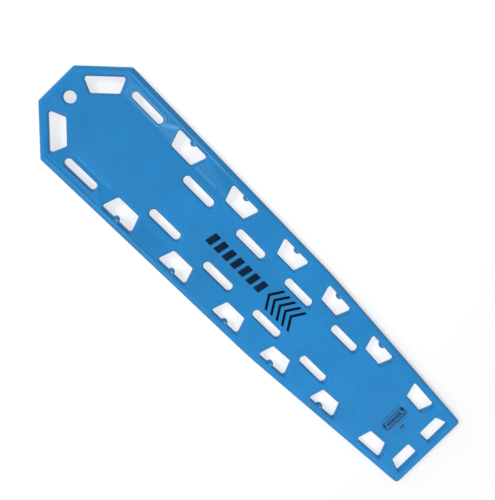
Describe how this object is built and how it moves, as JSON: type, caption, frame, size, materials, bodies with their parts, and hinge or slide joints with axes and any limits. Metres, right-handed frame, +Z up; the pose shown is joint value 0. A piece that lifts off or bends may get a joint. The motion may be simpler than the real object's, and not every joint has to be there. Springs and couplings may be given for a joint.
{
  "type": "spine board",
  "caption": "Long rigid rescue board with a chamfered head end, tapered foot end, hand openings all round, strap slots, strap pins and a hanging hole.",
  "frame": {"origin": "middle of the length and width, on the ground plane under the runners", "axes": "+X along the board towards the foot end, +Y to the board's right-hand side seen from above with the head end at the left, +Z up out of the lying surface"},
  "size_m": [1.829, 0.396, 0.051],
  "materials": {
    "shell": "satin moulded polyethylene",
    "foam": "rigid closed-cell foam",
    "tube": "carbon composite",
    "label": null,
    "plug": "matte",
    "pin": "turned",
    "marking": "moulded-in dark graphic, plain stripes"
  },
  "bodies": {
    "root": {"deck_shell": "shell", "base_shell": "shell", "foam_core": "foam", "stiffener_tube_left": "tube", "stiffener_tube_right": "tube", "label_plate": "label", "vent_plug": "plug", "fill_plug": "plug", "clip_pin_left_1": "pin", "clip_pin_left_2": "pin", "clip_pin_left_3": "pin", "clip_pin_left_4": "pin", "clip_pin_left_5": "pin", "clip_pin_right_1": "pin", "clip_pin_right_2": "pin", "clip_pin_right_3": "pin", "clip_pin_right_4": "pin", "clip_pin_right_5": "pin"}
  },
  "joints": []
}
